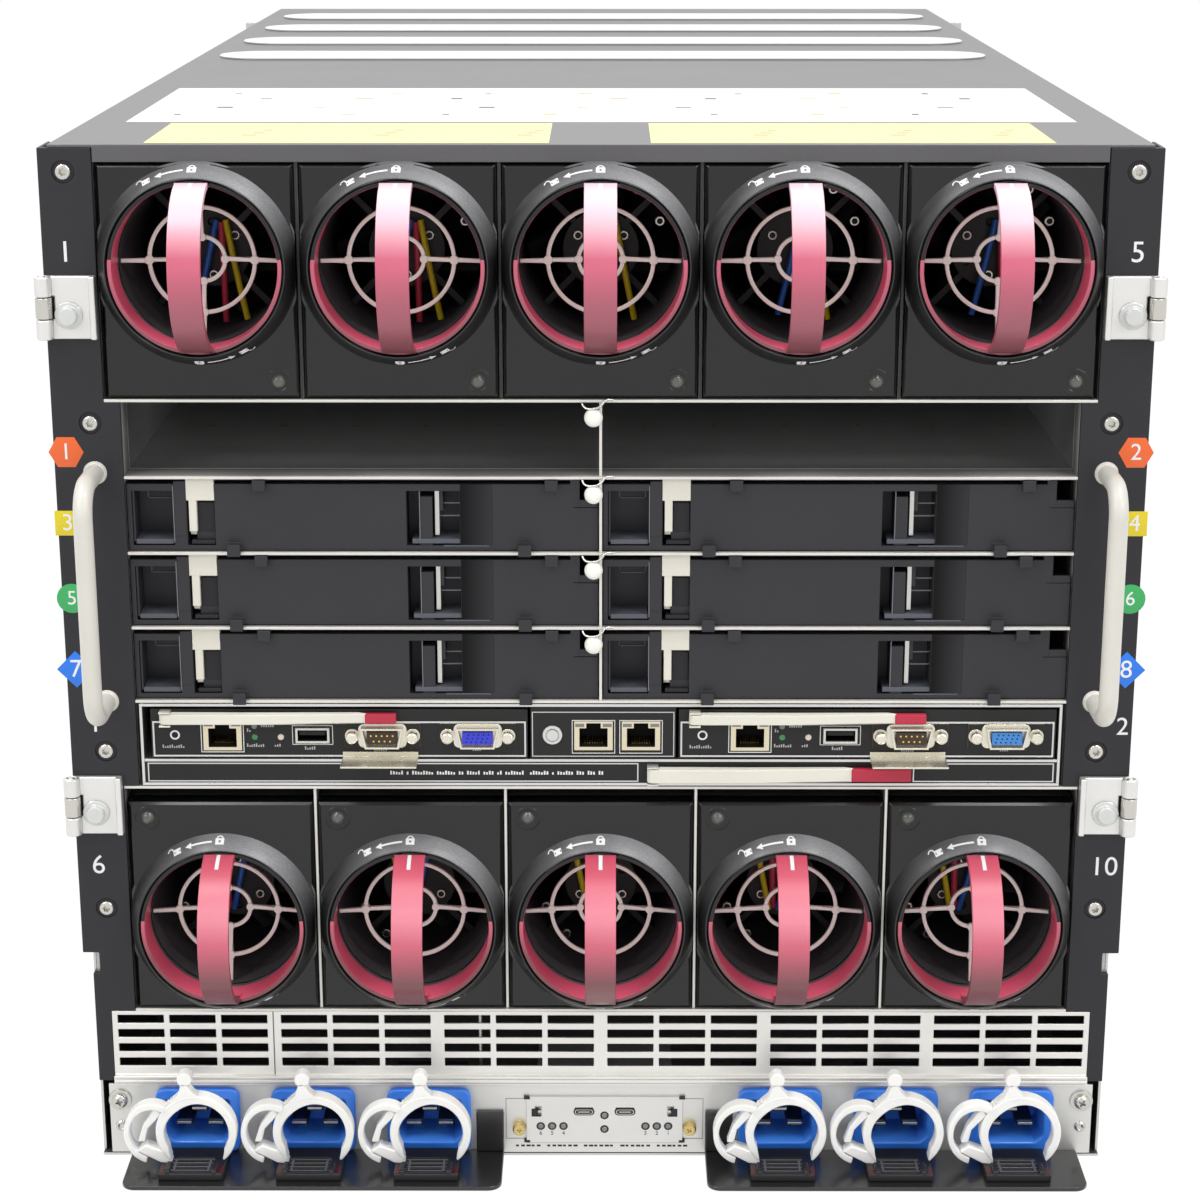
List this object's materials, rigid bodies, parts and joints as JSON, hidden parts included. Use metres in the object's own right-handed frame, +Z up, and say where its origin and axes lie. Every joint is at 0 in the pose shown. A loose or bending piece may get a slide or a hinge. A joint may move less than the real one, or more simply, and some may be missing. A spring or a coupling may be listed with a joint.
{
  "type": "blade server chassis",
  "caption": "Rack-mounted sheet-metal enclosure, rear side: two rows of latching fan modules with hoop handles, interconnect bays with blanks, management row, vent and power inlets.",
  "frame": {"origin": "centre of the base, at mid-depth of the case", "axes": "+Z up, -Y out of the rear service face, +Y toward the front with the rack ears, +X to the right as seen from the rear"},
  "size_m": [0.4826, 0.8502, 0.4432],
  "materials": {
    "cover_paint": "satin",
    "bare_sheet": "satin",
    "column_paint": "satin",
    "board": "matte",
    "inlet_plastic": "gloss",
    "clamp_plastic": "gloss",
    "handle_coat": "gloss",
    "zinc": "satin",
    "fan_plastic": "satin",
    "hoop_plastic": "satin",
    "rotor_plastic": "matte",
    "blank_plastic": "matte",
    "module_face": "matte",
    "lever_plastic": "satin",
    "button_plastic": "gloss",
    "latch_alloy": "cast"
  },
  "bodies": {
    "enclosure": {"top_cover": "cover_paint", "lower_shell": "bare_sheet", "rear_columns": "column_paint", "rear_cage": "bare_sheet", "midplane": "board", "front_cage": "bare_sheet", "vent_grille": "bare_sheet", "power_panel": "bare_sheet", "power_inlets": "inlet_plastic", "status_module": "bare_sheet", "cable_retainers": "clamp_plastic", "carry_handles": "handle_coat", "rear_fixings": "zinc"},
    "fan_1": {"fan_module_1": "fan_plastic"},
    "handle_1": {"fan_handle_1": "hoop_plastic"},
    "rotor_1": {"fan_rotor_1": "rotor_plastic"},
    "fan_2": {"fan_module_2": "fan_plastic"},
    "handle_2": {"fan_handle_2": "hoop_plastic"},
    "rotor_2": {"fan_rotor_2": "rotor_plastic"},
    "fan_3": {"fan_module_3": "fan_plastic"},
    "handle_3": {"fan_handle_3": "hoop_plastic"},
    "rotor_3": {"fan_rotor_3": "rotor_plastic"},
    "fan_4": {"fan_module_4": "fan_plastic"},
    "handle_4": {"fan_handle_4": "hoop_plastic"},
    "rotor_4": {"fan_rotor_4": "rotor_plastic"},
    "fan_5": {"fan_module_5": "fan_plastic"},
    "handle_5": {"fan_handle_5": "hoop_plastic"},
    "rotor_5": {"fan_rotor_5": "rotor_plastic"},
    "fan_6": {"fan_module_6": "fan_plastic"},
    "handle_6": {"fan_handle_6": "hoop_plastic"},
    "rotor_6": {"fan_rotor_6": "rotor_plastic"},
    "fan_7": {"fan_module_7": "fan_plastic"},
    "handle_7": {"fan_handle_7": "hoop_plastic"},
    "rotor_7": {"fan_rotor_7": "rotor_plastic"},
    "fan_8": {"fan_module_8": "fan_plastic"},
    "handle_8": {"fan_handle_8": "hoop_plastic"},
    "rotor_8": {"fan_rotor_8": "rotor_plastic"},
    "fan_9": {"fan_module_9": "fan_plastic"},
    "handle_9": {"fan_handle_9": "hoop_plastic"},
    "rotor_9": {"fan_rotor_9": "rotor_plastic"},
    "fan_10": {"fan_module_10": "fan_plastic"},
    "handle_10": {"fan_handle_10": "hoop_plastic"},
    "rotor_10": {"fan_rotor_10": "rotor_plastic"},
    "blank_1": {"bay_blank_1": "blank_plastic"},
    "blank_2": {"bay_blank_2": "blank_plastic"},
    "blank_3": {"bay_blank_3": "blank_plastic"},
    "blank_4": {"bay_blank_4": "blank_plastic"},
    "blank_5": {"bay_blank_5": "blank_plastic"},
    "blank_6": {"bay_blank_6": "blank_plastic"},
    "sleeve": {"sleeve": "module_face"},
    "module_1": {"management_module_1": "module_face"},
    "lever_1": {"management_lever_1": "lever_plastic"},
    "module_2": {"management_module_2": "module_face"},
    "lever_2": {"management_lever_2": "lever_plastic"},
    "sleeve_lever": {"sleeve_lever": "lever_plastic"},
    "locator_button": {"locator_button": "button_plastic"},
    "latch_1": {"latch_leaf_1": "latch_alloy"},
    "latch_2": {"latch_leaf_2": "latch_alloy"},
    "latch_3": {"latch_leaf_3": "latch_alloy"},
    "latch_4": {"latch_leaf_4": "latch_alloy"}
  },
  "joints": [
    {"name": "fan_1_slide", "type": "slide", "parent": "enclosure", "child": "fan_1", "axis": [0, -1, 0], "range_m": [0, 0.2]},
    {"name": "fan_1_lock", "type": "hinge", "parent": "fan_1", "child": "handle_1", "pos_m": [-0.1616, -0.4095, 0.3941], "axis": [0, -1, 0], "range_deg": [0, 30]},
    {"name": "fan_1_spin", "type": "hinge", "parent": "fan_1", "child": "rotor_1", "pos_m": [-0.1616, -0.3365, 0.3941], "axis": [0, 1, 0], "continuous": true},
    {"name": "fan_2_slide", "type": "slide", "parent": "enclosure", "child": "fan_2", "axis": [0, -1, 0], "range_m": [0, 0.2]},
    {"name": "fan_2_lock", "type": "hinge", "parent": "fan_2", "child": "handle_2", "pos_m": [-0.0808, -0.4095, 0.3941], "axis": [0, -1, 0], "range_deg": [0, 30]},
    {"name": "fan_2_spin", "type": "hinge", "parent": "fan_2", "child": "rotor_2", "pos_m": [-0.0808, -0.3365, 0.3941], "axis": [0, 1, 0], "continuous": true},
    {"name": "fan_3_slide", "type": "slide", "parent": "enclosure", "child": "fan_3", "axis": [0, -1, 0], "range_m": [0, 0.2]},
    {"name": "fan_3_lock", "type": "hinge", "parent": "fan_3", "child": "handle_3", "pos_m": [0, -0.4095, 0.3941], "axis": [0, -1, 0], "range_deg": [0, 30]},
    {"name": "fan_3_spin", "type": "hinge", "parent": "fan_3", "child": "rotor_3", "pos_m": [0, -0.3365, 0.3941], "axis": [0, 1, 0], "continuous": true},
    {"name": "fan_4_slide", "type": "slide", "parent": "enclosure", "child": "fan_4", "axis": [0, -1, 0], "range_m": [0, 0.2]},
    {"name": "fan_4_lock", "type": "hinge", "parent": "fan_4", "child": "handle_4", "pos_m": [0.0808, -0.4095, 0.3941], "axis": [0, -1, 0], "range_deg": [0, 30]},
    {"name": "fan_4_spin", "type": "hinge", "parent": "fan_4", "child": "rotor_4", "pos_m": [0.0808, -0.3365, 0.3941], "axis": [0, 1, 0], "continuous": true},
    {"name": "fan_5_slide", "type": "slide", "parent": "enclosure", "child": "fan_5", "axis": [0, -1, 0], "range_m": [0, 0.2]},
    {"name": "fan_5_lock", "type": "hinge", "parent": "fan_5", "child": "handle_5", "pos_m": [0.1616, -0.4095, 0.3941], "axis": [0, -1, 0], "range_deg": [0, 30]},
    {"name": "fan_5_spin", "type": "hinge", "parent": "fan_5", "child": "rotor_5", "pos_m": [0.1616, -0.3365, 0.3941], "axis": [0, 1, 0], "continuous": true},
    {"name": "fan_6_slide", "type": "slide", "parent": "enclosure", "child": "fan_6", "axis": [0, -1, 0], "range_m": [0, 0.2]},
    {"name": "fan_6_lock", "type": "hinge", "parent": "fan_6", "child": "handle_6", "pos_m": [-0.1616, -0.4095, 0.1112], "axis": [0, -1, 0], "range_deg": [0, 30]},
    {"name": "fan_6_spin", "type": "hinge", "parent": "fan_6", "child": "rotor_6", "pos_m": [-0.1616, -0.3365, 0.1112], "axis": [0, 1, 0], "continuous": true},
    {"name": "fan_7_slide", "type": "slide", "parent": "enclosure", "child": "fan_7", "axis": [0, -1, 0], "range_m": [0, 0.2]},
    {"name": "fan_7_lock", "type": "hinge", "parent": "fan_7", "child": "handle_7", "pos_m": [-0.0808, -0.4095, 0.1112], "axis": [0, -1, 0], "range_deg": [0, 30]},
    {"name": "fan_7_spin", "type": "hinge", "parent": "fan_7", "child": "rotor_7", "pos_m": [-0.0808, -0.3365, 0.1112], "axis": [0, 1, 0], "continuous": true},
    {"name": "fan_8_slide", "type": "slide", "parent": "enclosure", "child": "fan_8", "axis": [0, -1, 0], "range_m": [0, 0.2]},
    {"name": "fan_8_lock", "type": "hinge", "parent": "fan_8", "child": "handle_8", "pos_m": [0, -0.4095, 0.1112], "axis": [0, -1, 0], "range_deg": [0, 30]},
    {"name": "fan_8_spin", "type": "hinge", "parent": "fan_8", "child": "rotor_8", "pos_m": [0, -0.3365, 0.1112], "axis": [0, 1, 0], "continuous": true},
    {"name": "fan_9_slide", "type": "slide", "parent": "enclosure", "child": "fan_9", "axis": [0, -1, 0], "range_m": [0, 0.2]},
    {"name": "fan_9_lock", "type": "hinge", "parent": "fan_9", "child": "handle_9", "pos_m": [0.0808, -0.4095, 0.1112], "axis": [0, -1, 0], "range_deg": [0, 30]},
    {"name": "fan_9_spin", "type": "hinge", "parent": "fan_9", "child": "rotor_9", "pos_m": [0.0808, -0.3365, 0.1112], "axis": [0, 1, 0], "continuous": true},
    {"name": "fan_10_slide", "type": "slide", "parent": "enclosure", "child": "fan_10", "axis": [0, -1, 0], "range_m": [0, 0.2]},
    {"name": "fan_10_lock", "type": "hinge", "parent": "fan_10", "child": "handle_10", "pos_m": [0.1616, -0.4095, 0.1112], "axis": [0, -1, 0], "range_deg": [0, 30]},
    {"name": "fan_10_spin", "type": "hinge", "parent": "fan_10", "child": "rotor_10", "pos_m": [0.1616, -0.3365, 0.1112], "axis": [0, 1, 0], "continuous": true},
    {"name": "blank_1_slide", "type": "slide", "parent": "enclosure", "child": "blank_1", "axis": [0, -1, 0], "range_m": [0, 0.08]},
    {"name": "blank_2_slide", "type": "slide", "parent": "enclosure", "child": "blank_2", "axis": [0, -1, 0], "range_m": [0, 0.08]},
    {"name": "blank_3_slide", "type": "slide", "parent": "enclosure", "child": "blank_3", "axis": [0, -1, 0], "range_m": [0, 0.08]},
    {"name": "blank_4_slide", "type": "slide", "parent": "enclosure", "child": "blank_4", "axis": [0, -1, 0], "range_m": [0, 0.08]},
    {"name": "blank_5_slide", "type": "slide", "parent": "enclosure", "child": "blank_5", "axis": [0, -1, 0], "range_m": [0, 0.08]},
    {"name": "blank_6_slide", "type": "slide", "parent": "enclosure", "child": "blank_6", "axis": [0, -1, 0], "range_m": [0, 0.08]},
    {"name": "sleeve_slide", "type": "slide", "parent": "enclosure", "child": "sleeve", "axis": [0, -1, 0], "range_m": [0, 0.15]},
    {"name": "module_1_slide", "type": "slide", "parent": "sleeve", "child": "module_1", "axis": [0, -1, 0], "range_m": [0, 0.15]},
    {"name": "lever_1_pivot", "type": "hinge", "parent": "module_1", "child": "lever_1", "pos_m": [-0.1827, -0.4093, 0.2039], "axis": [0, 0, -1], "range_deg": [0, 60]},
    {"name": "module_2_slide", "type": "slide", "parent": "sleeve", "child": "module_2", "axis": [0, -1, 0], "range_m": [0, 0.15]},
    {"name": "lever_2_pivot", "type": "hinge", "parent": "module_2", "child": "lever_2", "pos_m": [0.0395, -0.4093, 0.2039], "axis": [0, 0, -1], "range_deg": [0, 60]},
    {"name": "sleeve_lever_pivot", "type": "hinge", "parent": "sleeve", "child": "sleeve_lever", "pos_m": [0.022, -0.4087, 0.17865], "axis": [0, 0, -1], "range_deg": [0, 60]},
    {"name": "locator_button_press", "type": "slide", "parent": "sleeve", "child": "locator_button", "axis": [0, 1, 0], "range_m": [0, 0.0015], "stiffness_N_per_m": 400, "springref_m": -0.001},
    {"name": "latch_1_hinge", "type": "hinge", "parent": "enclosure", "child": "latch_1", "pos_m": [-0.2233, -0.4102, 0.165], "axis": [0, 0, -1], "range_deg": [0, 110]},
    {"name": "latch_2_hinge", "type": "hinge", "parent": "enclosure", "child": "latch_2", "pos_m": [0.2233, -0.4102, 0.165], "axis": [0, 0, 1], "range_deg": [0, 110]},
    {"name": "latch_3_hinge", "type": "hinge", "parent": "enclosure", "child": "latch_3", "pos_m": [-0.2233, -0.4102, 0.3774], "axis": [0, 0, -1], "range_deg": [0, 110]},
    {"name": "latch_4_hinge", "type": "hinge", "parent": "enclosure", "child": "latch_4", "pos_m": [0.2233, -0.4102, 0.3774], "axis": [0, 0, 1], "range_deg": [0, 110]}
  ]
}
